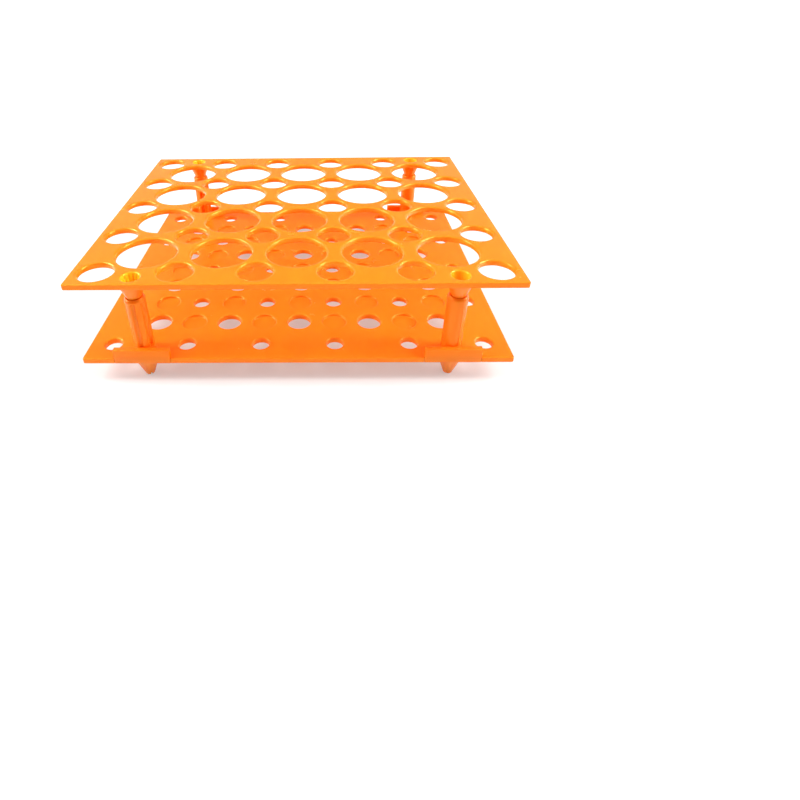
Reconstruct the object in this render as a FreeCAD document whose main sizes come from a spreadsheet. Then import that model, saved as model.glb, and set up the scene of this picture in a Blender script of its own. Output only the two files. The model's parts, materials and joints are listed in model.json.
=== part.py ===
"""Test tube rack: two perforated plates held apart by four posts.

Frame: millimetres, +Z up, origin on the surface that the feet stand on, below the middle of the
rack. +X runs along the six 15 ml columns, +Y from the front edge to the back edge.

Both plates carry four hollow conical feet. Each post drops a tapered spigot into a foot of the
bottom plate, and its T-shaped base bar sits in a notch of that plate's edge, which stops it from
turning. The feet of the top plate rest in sockets in the tops of the posts, so the top plate
lifts straight off.
"""
import FreeCAD, Part
import Sketcher
import os

DIMENSIONS = {
    # tube grid
    "tube_spacing": 38.0,  # centre distance of neighbouring tubes of one size, both ways
    "narrow_columns": 6,
    "narrow_rows": 5,
    "wide_columns": 5,
    "wide_rows": 4,
    "narrow_hole": 17.0,  # top plate, 15 ml tubes
    "wide_hole": 30.5,  # top plate, 50 ml tubes
    "narrow_tip_hole": 8.7,  # bottom plate, tips of the 15 ml tubes
    "wide_tip_hole": 12.5,  # bottom plate, tips of the 50 ml tubes
    "hole_rim_round": 1.2,  # upper rims of the tube holes
    "hole_foot_round": 0.4,  # lower rims of the tube holes
    "tip_rim_round": 0.8,  # upper rims of the tip holes
    "dimple": 13.0,  # blind round recesses between the tip holes
    "dimple_depth": 1.2,
    "dimple_rim_round": 0.6,
    # plates
    "edge_margin": 3.5,  # from the outermost narrow holes to the plate's edge
    "plate_thickness": 3.0,
    "plate_corner": 1.0,
    "plate_edge_round": 0.4,
    "plate_gap": 40.3,  # clear height between the plates
    # feet, the same under both plates
    "foot_height": 11.7,
    "foot_radius": 6.4,  # at the underside of the plate
    "foot_taper": 0.36,  # radius lost per millimetre of height
    "mouth_radius": 4.5,  # of the hollow, carried up to the deck through its flared lip
    "mouth_taper": 0.23,
    "foot_floor": 1.5,
    "foot_tip_chamfer": 0.5,
    "foot_mouth_flare": 0.85,
    "slot_radius": 2.75,  # slots that make the teeth of the left feet
    "slot_width": 0.9,
    # posts
    "post_across": 77.0,  # post axis from the middle, along X
    "post_along": 80.8,  # post axis from the middle, along Y
    "post_radius": 5.0,
    "post_height": 32.6,
    "post_shoulder": 1.1,
    "fit_gap": 0.2,
    "spigot_length": 7.0,
    "socket_rim": 4.2,
    "bar_length": 28.0,
    "bar_depth": 3.0,
    "bar_key": 1.4,  # how far the bar's lower part reaches into the plate's edge
    "bar_rise": 5.0,  # above the bottom plate
    "flute_radius": 1.3,
    "flute_offset": 5.4,  # flute centre from the post's axis
    "flute_end": 2.0,  # below the post's top, where the socket is still narrow
    "groove_radius": 0.5,
    "groove_turn": 20.0,  # degrees from the outward side to the plain post's seam groove
    "notch_gap": 0.1,
}
FLUTES = 6
FOOT_SLOTS = 6

doc = FreeCAD.newDocument("test_tube_rack")
sheet = doc.addObject("Spreadsheet::Sheet", "Dimensions")
for row, (alias, value) in enumerate(DIMENSIONS.items(), start=1):
    sheet.set(f"A{row}", alias)
    sheet.set(f"B{row}", str(value))
    sheet.setAlias(f"B{row}", alias)
FORMULAS = {
    "plate_length": "=(narrow_columns - 1) * tube_spacing + narrow_hole + 2 * edge_margin",
    "plate_width": "=(narrow_rows - 1) * tube_spacing + narrow_hole + 2 * edge_margin",
    "deck_level": "=foot_height + plate_thickness",
    "tip_radius": "=foot_radius - foot_taper * foot_height",
    "socket_floor": "=plate_gap - foot_height",
}
for row, (alias, formula) in enumerate(FORMULAS.items(), start=len(DIMENSIONS) + 1):
    sheet.set(f"A{row}", alias)
    sheet.set(f"B{row}", formula)
    sheet.setAlias(f"B{row}", alias)
doc.recompute()


def size(alias):
    """A value of the sheet, in millimetres."""
    return float(sheet.get(alias))


def bind(feature, **properties):
    """Tie properties of a feature to expressions on the sheet."""
    for name, expression in properties.items():
        feature.setExpression(name.replace("__", "."), expression)


def origin_element(body, role):
    return next(e for e in body.Origin.OriginFeatures if e.Role == role)


def new_body(name):
    body = doc.addObject("PartDesign::Body", name)
    body.Label = name
    return body


def new_sketch(body, name, plane="XY_Plane"):
    sketch = body.newObject("Sketcher::SketchObject", name)
    sketch.AttachmentSupport = [(origin_element(body, plane), "")]
    sketch.MapMode = "FlatFace"
    return sketch


def draw_rectangle(sketch, width, height, centre_x="0", centre_y="0"):
    """A rectangle whose sides are driven by expressions for its size and its centre."""
    corners = [FreeCAD.Vector(x, y, 0) for x, y in ((-1, -1), (1, -1), (1, 1), (-1, 1))]
    lines = [
        sketch.addGeometry(Part.LineSegment(corners[i], corners[(i + 1) % 4])) for i in range(4)
    ]
    for i in range(4):
        sketch.addConstraint(Sketcher.Constraint("Coincident", lines[i], 2, lines[(i + 1) % 4], 1))
    for i, direction in enumerate(("Horizontal", "Vertical", "Horizontal", "Vertical")):
        sketch.addConstraint(Sketcher.Constraint(direction, lines[i]))
    driven = (
        ("left", "DistanceX", f"({centre_x}) - ({width}) / 2"),
        ("low", "DistanceY", f"({centre_y}) - ({height}) / 2"),
    )
    for name, kind, expression in driven:
        index = sketch.addConstraint(Sketcher.Constraint(kind, -1, 1, lines[0], 1, -1.0))
        sketch.renameConstraint(index, name)
        sketch.setExpression(f"Constraints.{name}", expression)
    for name, kind, line, expression in (
        ("width", "DistanceX", lines[0], width),
        ("height", "DistanceY", lines[1], height),
    ):
        index = sketch.addConstraint(Sketcher.Constraint(kind, line, 1, line, 2, 2.0))
        sketch.renameConstraint(index, name)
        sketch.setExpression(f"Constraints.{name}", expression)


def draw_circle(sketch, radius, centre_x, centre_y):
    """A circle whose radius and centre are driven by expressions."""
    circle = sketch.addGeometry(Part.Circle(FreeCAD.Vector(1, 1, 0), FreeCAD.Vector(0, 0, 1), 1))
    for name, constraint, expression in (
        ("radius", Sketcher.Constraint("Radius", circle, 1.0), radius),
        ("across", Sketcher.Constraint("DistanceX", -1, 1, circle, 3, 1.0), centre_x),
        ("along", Sketcher.Constraint("DistanceY", -1, 1, circle, 3, 1.0), centre_y),
    ):
        index = sketch.addConstraint(constraint)
        sketch.renameConstraint(index, name)
        sketch.setExpression(f"Constraints.{name}", expression)


def draw_profile(sketch, points):
    """A closed outline whose corners are driven by (x, y) pairs of expressions."""
    count = len(points)
    start = [FreeCAD.Vector(*(value_of(e) for e in point), 0) for point in points]
    lines = [
        sketch.addGeometry(Part.LineSegment(start[i], start[(i + 1) % count]))
        for i in range(count)
    ]
    for i in range(count):
        after = lines[(i + 1) % count]
        sketch.addConstraint(Sketcher.Constraint("Coincident", lines[i], 2, after, 1))
    for i, (x, y) in enumerate(points):
        for kind, letter, expression, value in (
            ("DistanceX", "x", x, start[i].x),
            ("DistanceY", "y", y, start[i].y),
        ):
            index = sketch.addConstraint(Sketcher.Constraint(kind, -1, 1, lines[i], 1, value))
            sketch.renameConstraint(index, f"{letter}{i}")
            sketch.setExpression(f"Constraints.{letter}{i}", expression)


def value_of(expression):
    """What an expression on the sheet comes to."""
    return float(sheet.evalExpression(expression.replace("Dimensions.", "")))


def pocket(body, name, sketch, upward=False, **bound):
    """Cut a sketch out of the body, and check that something was cut."""
    doc.recompute()
    before = body.Shape.Volume
    cut = body.newObject("PartDesign::Pocket", name)
    cut.Profile = sketch
    cut.Reversed = upward
    if bound:
        bind(cut, **bound)
    else:
        cut.Type = "ThroughAll"
    doc.recompute()
    if body.Shape.Volume >= before:
        raise RuntimeError(f"{name} cuts nothing")
    return cut


def grid(body, name, original, columns, rows, length_x, length_y):
    """Repeat a feature along +X and +Y."""
    pattern = body.newObject("PartDesign::LinearPattern", name)
    pattern.Originals = [original]
    pattern.Direction = (origin_element(body, "X_Axis"), [""])
    pattern.Direction2 = (origin_element(body, "Y_Axis"), [""])
    bind(pattern, Occurrences=columns, Occurrences2=rows, Length=length_x, Length2=length_y)
    body.Tip = pattern
    doc.recompute()
    return pattern


def hole_grid(body, name, diameter, columns, rows):
    """Round holes right through a plate, on the tube spacing, centred on the plate."""
    spacing = "Dimensions.tube_spacing"
    sketch = new_sketch(body, f"{name}_sketch")
    draw_circle(
        sketch,
        f"{diameter} / 2",
        f"-({columns} - 1) * {spacing} / 2",
        f"-({rows} - 1) * {spacing} / 2",
    )
    first = pocket(body, f"{name}_first", sketch, upward=True)
    lengths = [f"({count} - 1) * {spacing}" for count in (columns, rows)]
    return grid(body, name, first, columns, rows, *lengths)


def round_edges(body, name, radius, wanted):
    """Fillet the edges of the body's tip that the test picks."""
    base = body.Tip
    names = [f"Edge{i}" for i, edge in enumerate(base.Shape.Edges, start=1) if wanted(edge)]
    if not names:
        raise RuntimeError(f"{name} finds no edge")
    fillet = body.newObject("PartDesign::Fillet", name)
    fillet.Base = (base, names)
    bind(fillet, Radius=radius)
    body.Tip = fillet
    doc.recompute()
    return fillet


def is_rim(edge, radii, level):
    """Is the edge a whole circle of one of the radii, at the level?"""
    if not isinstance(edge.Curve, Part.Circle) or not edge.Closed:
        return False
    close = 1e-4
    fits = any(abs(edge.Curve.Radius - r) < close for r in radii)
    return fits and abs(edge.Curve.Center.z - level) < close


def is_upright(edge):
    return abs(edge.Vertexes[0].Z - edge.Vertexes[-1].Z) > 1e-4


def blank_plate(name):
    """A flat rectangle with softly rounded corners and edges, its underside at z = 0."""
    body = new_body(name)
    outline = new_sketch(body, f"{name}_outline")
    draw_rectangle(outline, "Dimensions.plate_length", "Dimensions.plate_width")
    pad = body.newObject("PartDesign::Pad", f"{name}_pad")
    pad.Profile = outline
    bind(pad, Length="Dimensions.plate_thickness")
    doc.recompute()
    round_edges(body, f"{name}_corners", "Dimensions.plate_corner", is_upright)
    round_edges(
        body, f"{name}_edges", "Dimensions.plate_edge_round", lambda edge: not is_upright(edge)
    )
    return body


def foot_sketch(body, name, side):
    """A sketch in the upright plane through the front foot of one side, centred on its axis."""
    sketch = new_sketch(body, name, "XZ_Plane")
    bind(
        sketch,
        AttachmentOffset__Base__x=f"{side} * Dimensions.post_across",
        AttachmentOffset__Base__z="Dimensions.post_along",
    )
    return sketch


def turn(body, name, kind, sketch):
    """Revolve a profile about its sketch's vertical axis."""
    feature = body.newObject(f"PartDesign::{kind}", name)
    feature.Profile = sketch
    feature.ReferenceAxis = (sketch, ["V_Axis"])
    feature.Angle = 360
    doc.recompute()
    return feature


def front_and_back(body, name, feature):
    """Repeat a feature of a front foot on the back foot of the same side."""
    pattern = body.newObject("PartDesign::LinearPattern", name)
    pattern.Originals = [feature]
    pattern.Direction = (origin_element(body, "Y_Axis"), [""])
    pattern.Occurrences = 2
    bind(pattern, Length="2 * Dimensions.post_along")
    body.Tip = pattern
    doc.recompute()
    return pattern


def add_feet(body, side, side_name, toothed):
    """Two hollow cones under one side of a plate, open at the plate's top.

    A toothed foot is open at its tip too, and slots leave teeth around that opening.
    """
    label = f"{body.Name}_{side_name}"
    taper, reach = "Dimensions.foot_taper", "Dimensions.foot_height"
    chamfer, tip = "Dimensions.foot_tip_chamfer", "Dimensions.tip_radius"
    outer = foot_sketch(body, f"{label}_foot_outline", side)
    into_plate = "Dimensions.plate_thickness / 2"
    draw_profile(
        outer,
        [
            ("0", into_plate),
            ("0", f"-{reach}"),
            (f"{tip} - {chamfer}", f"-{reach}"),
            (f"{tip} + {taper} * {chamfer}", f"-{reach} + {chamfer}"),
            ("Dimensions.foot_radius", "0"),
            ("Dimensions.foot_radius", into_plate),
        ],
    )
    cone = turn(body, f"{label}_foot_cone", "Revolution", outer)
    front_and_back(body, f"{label}_feet", cone)

    floor = "0" if toothed else "Dimensions.foot_floor"
    depth = f"({reach} + Dimensions.plate_thickness - {floor})"
    mouth, lip = "Dimensions.mouth_radius", "Dimensions.foot_mouth_flare"
    inner_taper, top = "Dimensions.mouth_taper", "Dimensions.plate_thickness"
    inner = foot_sketch(body, f"{label}_mouth_outline", side)
    draw_profile(
        inner,
        [
            ("0", top),
            ("0", f"{top} - {depth}"),
            (f"{mouth} - {inner_taper} * {depth}", f"{top} - {depth}"),
            (f"{mouth} - {inner_taper} * {lip}", f"{top} - {lip}"),
            (f"{mouth} + {lip}", top),
        ],
    )
    hollow = turn(body, f"{label}_mouth", "Groove", inner)
    front_and_back(body, f"{label}_mouths", hollow)
    if toothed:
        for i in range(FOOT_SLOTS // 2):
            add_slot(body, f"{label}_slot_{i}", side, i * 360 / FOOT_SLOTS)


def add_slot(body, name, side, turn_degrees):
    """One slot across the tips of both feet of a side, from the tip up inside the cone."""
    sketch = new_sketch(body, f"{name}_sketch")
    bind(
        sketch,
        AttachmentOffset__Base__x=f"{side} * Dimensions.post_across",
        AttachmentOffset__Base__y="-Dimensions.post_along",
        AttachmentOffset__Base__z="-Dimensions.foot_height",
    )
    sketch.setExpression("AttachmentOffset.Rotation.Angle", f"{turn_degrees}")
    draw_rectangle(sketch, "2 * Dimensions.slot_radius", "Dimensions.slot_width")
    cut = pocket(body, name, sketch, upward=True, Length="Dimensions.foot_height")
    front_and_back(body, f"{name}_pair", cut)


def make_top_plate():
    """The deck with the full-size tube holes."""
    body = blank_plate("top_plate")
    hole_grid(
        body,
        "narrow_holes",
        "Dimensions.narrow_hole",
        "Dimensions.narrow_columns",
        "Dimensions.narrow_rows",
    )
    hole_grid(
        body,
        "wide_holes",
        "Dimensions.wide_hole",
        "Dimensions.wide_columns",
        "Dimensions.wide_rows",
    )
    radii = (size("narrow_hole") / 2, size("wide_hole") / 2)
    for name, rounding, level in (
        ("tube_hole_rims", "Dimensions.hole_rim_round", size("plate_thickness")),
        ("tube_hole_feet", "Dimensions.hole_foot_round", 0),
    ):
        round_edges(body, name, rounding, lambda edge: is_rim(edge, radii, level))
    add_feet(body, -1, "left", toothed=True)
    add_feet(body, 1, "right", toothed=False)
    bind(
        body,
        Placement__Base__z="Dimensions.deck_level + Dimensions.plate_gap",
    )
    return body


def add_dimples(body, name, columns, rows):
    """Shallow blind recesses in the top of the bottom plate, on the tube spacing."""
    spacing = "Dimensions.tube_spacing"
    sketch = new_sketch(body, f"{name}_sketch")
    bind(sketch, AttachmentOffset__Base__z="Dimensions.plate_thickness")
    draw_circle(
        sketch,
        "Dimensions.dimple / 2",
        f"-({columns} - 1) * {spacing} / 2",
        f"-({rows} - 1) * {spacing} / 2",
    )
    first = pocket(body, f"{name}_first", sketch, Length="Dimensions.dimple_depth")
    lengths = [f"({count} - 1) * {spacing}" for count in (columns, rows)]
    return grid(body, name, first, columns, rows, *lengths)


def make_bottom_plate():
    """The deck that the tips of the tubes stand in, with notches for the posts' base bars."""
    body = blank_plate("bottom_plate")
    hole_grid(
        body,
        "narrow_tip_holes",
        "Dimensions.narrow_tip_hole",
        "Dimensions.narrow_columns",
        "Dimensions.narrow_rows",
    )
    hole_grid(
        body,
        "wide_tip_holes",
        "Dimensions.wide_tip_hole",
        "Dimensions.wide_columns",
        "Dimensions.wide_rows",
    )
    radii = (size("narrow_tip_hole") / 2, size("wide_tip_hole") / 2)
    top = size("plate_thickness")
    round_edges(
        body, "tip_hole_rims", "Dimensions.tip_rim_round", lambda edge: is_rim(edge, radii, top)
    )
    # between the tip holes: under each wide column on the inner narrow rows, and the other way
    add_dimples(
        body, "column_dimples", "Dimensions.wide_columns", "(Dimensions.narrow_rows - 2)"
    )
    add_dimples(
        body, "row_dimples", "(Dimensions.narrow_columns - 2)", "Dimensions.wide_rows"
    )
    round_edges(
        body,
        "dimple_rims",
        "Dimensions.dimple_rim_round",
        lambda edge: is_rim(edge, (size("dimple") / 2,), top),
    )
    add_feet(body, -1, "left", toothed=True)
    add_feet(body, 1, "right", toothed=False)
    notch = new_sketch(body, "notch_sketch")
    depth = "(Dimensions.bar_key + Dimensions.notch_gap)"
    draw_rectangle(
        notch,
        "Dimensions.bar_length + 2 * Dimensions.notch_gap",
        f"2 * {depth}",
        "-Dimensions.post_across",
        "-Dimensions.plate_width / 2",
    )
    first = pocket(body, "notch_first", notch, upward=True, Length="Dimensions.plate_thickness")
    grid(
        body,
        "notches",
        first,
        "2",
        "2",
        "2 * Dimensions.post_across",
        "Dimensions.plate_width",
    )
    bind(body, Placement__Base__z="Dimensions.foot_height")
    return body


def add_slab(body, name, depth, level, rise):
    """A slab of the base bar, as long as the bar, its face flush with the plate's edge."""
    sketch = new_sketch(body, f"{name}_sketch")
    bind(sketch, AttachmentOffset__Base__z=level)
    face = "(Dimensions.plate_width / 2 - Dimensions.post_along)"
    draw_rectangle(sketch, "Dimensions.bar_length", depth, "0", f"-{face} + {depth} / 2")
    pad = body.newObject("PartDesign::Pad", name)
    pad.Profile = sketch
    bind(pad, Length=rise)
    doc.recompute()


def make_post(name, side, end, fluted):
    """One post, made with its base bar on the -Y side and turned so that the bar faces out."""
    body = new_body(name)
    taper, gap = "Dimensions.foot_taper", "Dimensions.fit_gap"
    spigot, height = "Dimensions.spigot_length", "Dimensions.post_height"
    floor, tip = "Dimensions.socket_floor", "Dimensions.tip_radius"
    shoulder = "Dimensions.post_shoulder"
    profile = new_sketch(body, f"{name}_profile", "XZ_Plane")
    mouth, mouth_taper = "Dimensions.mouth_radius", "Dimensions.mouth_taper"
    draw_profile(
        profile,
        [
            ("0", f"-{spigot}"),
            (f"{mouth} - {gap} - {mouth_taper} * {spigot}", f"-{spigot}"),
            (f"{mouth} - {gap}", "0"),
            ("Dimensions.post_radius", "0"),
            ("Dimensions.post_radius", f"{height} - {shoulder}"),
            ("Dimensions.socket_rim", height),
            (f"{tip} + {gap} + {taper} * ({height} - {floor})", height),
            (f"{tip} + {gap}", floor),
            ("0", floor),
        ],
    )
    turn(body, f"{name}_shaft", "Revolution", profile)
    add_slab(body, f"{name}_bar", "Dimensions.bar_depth", "0", "Dimensions.bar_rise")
    add_slab(
        body,
        f"{name}_key",
        "Dimensions.bar_key",
        "-Dimensions.plate_thickness",
        "Dimensions.plate_thickness",
    )
    cut_level = new_sketch(body, f"{name}_flute_sketch")
    bind(cut_level, AttachmentOffset__Base__z="Dimensions.bar_rise")
    run = f"{height} - Dimensions.bar_rise"
    if fluted:
        draw_circle(cut_level, "Dimensions.flute_radius", "0", "-Dimensions.flute_offset")
        run += " - Dimensions.flute_end"
        first = pocket(body, f"{name}_flute", cut_level, upward=True, Length=run)
        around = body.newObject("PartDesign::PolarPattern", f"{name}_flutes")
        around.Originals = [first]
        around.Axis = (origin_element(body, "Z_Axis"), [""])
        around.Angle = 360
        around.Occurrences = FLUTES
        body.Tip = around
    else:
        draw_circle(
            cut_level,
            "Dimensions.groove_radius",
            "Dimensions.post_radius * sin(Dimensions.groove_turn * 1deg)",
            "-Dimensions.post_radius * cos(Dimensions.groove_turn * 1deg)",
        )
        pocket(body, f"{name}_groove", cut_level, upward=True, Length=run)
    bind(
        body,
        Placement__Base__x=f"{side} * Dimensions.post_across",
        Placement__Base__y=f"{end} * Dimensions.post_along",
        Placement__Base__z="Dimensions.deck_level",
    )
    body.Placement.Rotation = FreeCAD.Rotation(FreeCAD.Vector(0, 0, 1), 0 if end < 0 else 180)
    doc.recompute()
    return body


pieces = [
    make_top_plate(),
    make_bottom_plate(),
    make_post("post_front_left", -1, -1, fluted=True),
    make_post("post_front_right", 1, -1, fluted=False),
    make_post("post_back_left", -1, 1, fluted=True),
    make_post("post_back_right", 1, 1, fluted=False),
]
doc.recompute()

for item in doc.Objects:
    if "Invalid" in item.State or "Error" in item.State:
        raise RuntimeError(f"{item.Label} did not recompute: {item.State}")
os.makedirs("parts", exist_ok=True)
for piece in pieces:
    if piece.Shape.isNull() or not piece.Shape.isValid() or len(piece.Shape.Solids) != 1:
        raise RuntimeError(f"{piece.Label} is not one valid solid")
    piece.Shape.exportStep(f"parts/{piece.Label}.step")
    box = piece.Shape.BoundBox
    print(f"{piece.Label}: {box.XLength:.1f} x {box.YLength:.1f} x {box.ZLength:.1f} mm")
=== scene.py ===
"""Looks of the test tube rack, laid out as an add-on and run as a script.

Both decks are built hole by hole. The plate is shared out between its holes, feet and dimples, and
each share is one profile carried round its centre, from the share's outline on the top face,
through the hole or foot, to the outline on the underside. Lengths are in metres.
"""

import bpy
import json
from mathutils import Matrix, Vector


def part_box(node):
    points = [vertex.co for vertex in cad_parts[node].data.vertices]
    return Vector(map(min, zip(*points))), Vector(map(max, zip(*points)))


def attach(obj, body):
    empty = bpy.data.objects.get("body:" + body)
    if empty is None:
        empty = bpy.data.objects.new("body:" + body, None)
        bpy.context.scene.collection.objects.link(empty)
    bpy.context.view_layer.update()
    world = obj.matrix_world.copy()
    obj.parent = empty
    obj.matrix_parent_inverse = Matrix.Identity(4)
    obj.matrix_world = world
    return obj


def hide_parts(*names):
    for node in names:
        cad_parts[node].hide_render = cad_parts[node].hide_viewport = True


bl_info = {
    "name": "Test Tube Rack Looks",
    "version": (1, 0, 0),
    "blender": (4, 5, 0),
    "location": "View3D > Sidebar > Tube Rack",
    "description": "Builds the decks, posts and stage of a test tube rack round its CAD frame",
    "category": "Add Mesh",
}

import json
import math

import bmesh
import bpy
import numpy as np
from bpy.props import FloatProperty, FloatVectorProperty, IntProperty, PointerProperty
from bpy.types import Operator, Panel, PropertyGroup
from mathutils import Matrix

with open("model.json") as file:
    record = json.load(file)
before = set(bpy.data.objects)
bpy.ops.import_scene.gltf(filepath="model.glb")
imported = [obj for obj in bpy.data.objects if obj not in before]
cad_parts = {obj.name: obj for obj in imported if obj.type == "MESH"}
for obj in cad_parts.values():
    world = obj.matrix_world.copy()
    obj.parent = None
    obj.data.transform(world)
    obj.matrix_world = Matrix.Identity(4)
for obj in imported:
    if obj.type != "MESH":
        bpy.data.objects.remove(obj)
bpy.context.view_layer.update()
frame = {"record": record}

MM = 0.001
RECORD = frame["record"]
SIDES = (-1, 1)

PLATE_THICKNESS = 3.0 * MM
FOOT_HEIGHT = 11.7 * MM
SOCKET_FLOOR = 28.6 * MM  # above the base deck
SOCKET_RIM = 4.2 * MM  # outer radius of a post's top
LEVEL_BAND = 0.15 * MM  # flat ring round the rim of a hole or a dimple

SHARP_ANGLE = math.radians(32)  # edges that bend more than this are shaded sharp
SEAM = 0.002 * MM  # points of two grids that are closer than this are merged
SAME_POINT = 1e-7
HAIR = 1e-9

DECK_FLOW_MM = 60.0  # size of the melt's clouds in a deck
POST_FLOW_MM = 30.0  # and in a post

# ---------------------------------------------------------------- what a user would change


def length(name, description, default):
    """A length property, shown in the scene's unit."""
    return FloatProperty(
        name=name, description=description, default=default, min=0.0, unit="LENGTH", precision=5
    )


def colour(name, description, hex_value):
    """A colour property from an sRGB hex value."""
    return FloatVectorProperty(
        name=name,
        description=description,
        default=linear(hex_value),
        size=3,
        min=0.0,
        max=1.0,
        subtype="COLOR",
    )


def linear(hex_value):
    """sRGB hex to linear RGB."""
    channels = np.array([int(hex_value[i : i + 2], 16) for i in (1, 3, 5)]) / 255
    low = channels / 12.92
    high = ((channels + 0.055) / 1.055) ** 2.4
    return tuple(float(c) for c in np.where(channels <= 0.04045, low, high))


class RackSizes(PropertyGroup):
    """Sizes of the rack's mouldings that the CAD frame's record does not state."""

    hole_rim: length("Hole rim round", "Rounding of a tube hole's upper rim", 1.2 * MM)
    hole_foot: length("Hole foot round", "Rounding of a tube hole's lower rim", 0.4 * MM)
    tip_rim: length("Tip hole round", "Rounding of a tip hole's upper rim", 0.8 * MM)
    plate_edge: length("Plate edge round", "Rounding along the decks' edges", 0.4 * MM)
    plate_corner: length("Plate corner", "Radius of the decks' corners", 1.0 * MM)
    dimple_radius: length("Dimple radius", "Radius of the base deck's dimples", 6.5 * MM)
    dimple_depth: length("Dimple depth", "Depth of the base deck's dimples", 1.2 * MM)
    dimple_rim: length("Dimple round", "Rounding of a dimple's rim", 0.6 * MM)
    foot_radius: length("Foot radius", "Foot radius at the deck's underside", 6.4 * MM)
    foot_taper: FloatProperty(
        name="Foot taper", description="Radius lost per unit of height", default=0.36, min=0.0
    )
    mouth_radius: length("Mouth radius", "Radius of a foot's hollow, at the deck's face", 4.5 * MM)
    mouth_taper: FloatProperty(
        name="Mouth taper", description="Radius lost per unit of depth", default=0.23, min=0.0
    )
    foot_lip: length("Foot lip", "Depth and width of a hollow foot's flared lip", 0.85 * MM)
    foot_floor: length("Foot floor", "Thickness of a closed foot's tip", 1.5 * MM)
    post_radius: length("Post radius", "Radius of a post's shaft", 5.0 * MM)
    bar_length: length("Base bar length", "Length of a post's base bar", 28.0 * MM)
    bar_depth: length("Base bar depth", "Depth of the base bar above the deck", 3.0 * MM)
    bar_key: length("Base bar key", "Depth of the bar's part in the deck's notch", 1.4 * MM)
    bar_rise: length("Base bar rise", "Height of the base bar above the deck", 5.0 * MM)
    slots: IntProperty(
        name="Foot slots", description="Slots round a toothed foot", default=6, min=0, max=12
    )
    flutes: IntProperty(
        name="Post flutes", description="Flutes round a fluted post", default=6, min=0, max=12
    )


class RackColours(PropertyGroup):
    """Colours of the rack and its stage."""

    deck: colour("Decks", "Polypropylene of both decks", "#FA7B14")
    # Painted shade: the posts' orange is the decks' orange made darker and redder, standing in for
    # the shade on the posts' shafts and bars.
    post: colour("Posts", "Polypropylene of the posts", "#FA720E")
    # Painted light: the hollow feet's colour is a yellower orange laid inside the tube deck's
    # feet, standing in for light that gathers in their thin walls.
    hollow: colour("Hollow feet", "Lit inside of the tube deck's feet", "#FFBC22")
    floor: colour("Floor", "Paper that the rack stands on", "#B8B8B8")


# ---------------------------------------------------------------- surfaces from arrays


def grid_faces(rows, columns, first=0, flip=False):
    """Quads of a grid whose last column joins its first, as vertex numbers from `first` on."""
    row, column = np.meshgrid(np.arange(rows - 1), np.arange(columns), indexing="ij")
    ahead = (column + 1) % columns
    quads = np.stack(
        [
            row * columns + column,
            row * columns + ahead,
            (row + 1) * columns + ahead,
            (row + 1) * columns + column,
        ],
        axis=-1,
    ).reshape(-1, 4)
    return first + (quads[:, ::-1] if flip else quads)


class Shell:
    """Grids that together close into one surface."""

    def __init__(self):
        self.points, self.faces, self.count = [], [], 0

    def add(self, grid, flip=False):
        """Add a (rows, columns, 3) grid, closed round its columns."""
        rows, columns = grid.shape[:2]
        self.points.append(grid.reshape(-1, 3))
        self.faces.append(grid_faces(rows, columns, self.count, flip))
        self.count += rows * columns

    def mesh(self, name):
        """The mesh, its seams merged, smooth except across sharp edges."""
        points, faces = np.concatenate(self.points), np.concatenate(self.faces)
        data = bpy.data.meshes.new(name)
        data.from_pydata(points.tolist(), [], faces.tolist())
        work = bmesh.new()
        work.from_mesh(data)
        bmesh.ops.remove_doubles(work, verts=work.verts, dist=SEAM)
        bmesh.ops.dissolve_degenerate(work, edges=work.edges, dist=0.5 * SEAM)
        if work.calc_volume(signed=True) < 0:
            bmesh.ops.reverse_faces(work, faces=work.faces)
        work.to_mesh(data)
        work.free()
        data.shade_smooth()
        data.set_sharp_from_angle(angle=SHARP_ANGLE)
        return data


def ring(centre, outline, radii, heights, rim_heights=(None, None)):
    """A profile carried round a centre, one column for each point of the outline.

    Row r of column c lies radii[r, c] from the centre, straight below or above the line from the
    centre to the outline's point c, at heights[r, c]. With a rim height, the outline itself is
    the first or the last row.
    """
    spokes = outline - centre
    spokes = spokes / np.linalg.norm(spokes, axis=1, keepdims=True)
    shape = (len(heights), len(outline))
    radii = np.broadcast_to(as_rows(radii), shape)
    heights = np.broadcast_to(as_rows(heights), shape)
    flat = centre + radii[..., None] * spokes
    rows = [np.concatenate([flat, heights[..., None]], axis=-1)]
    first, last = rim_heights
    if first is not None:
        rows.insert(0, level_outline(outline, first))
    if last is not None:
        rows.append(level_outline(outline, last))
    return np.concatenate(rows)


def as_rows(values):
    """A list of numbers as a column, so that it spreads over a grid's columns."""
    values = np.asarray(values, float)
    return values[:, None] if values.ndim == 1 else values


def level_outline(outline, height):
    """An outline as a grid of one row at a height."""
    return np.column_stack([outline, np.full(len(outline), height)])[None]


def quarter(radius, height, round_radius, steps=4, turn=1):
    """Radii and heights of a quarter round from a face into a hole: out and level, then down.

    The round bulges from the face at radius + round_radius to the wall at radius. turn 1 starts
    at an upper face, -1 ends at a lower one.
    """
    angle = np.linspace(0, math.pi / 2, steps + 1)
    radii = radius + round_radius * (1 - np.sin(angle))
    heights = height - turn * round_radius * (1 - np.cos(angle))
    return (radii, heights) if turn > 0 else (radii[::-1], heights[::-1])


# ---------------------------------------------------------------- sharing out a deck


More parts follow.
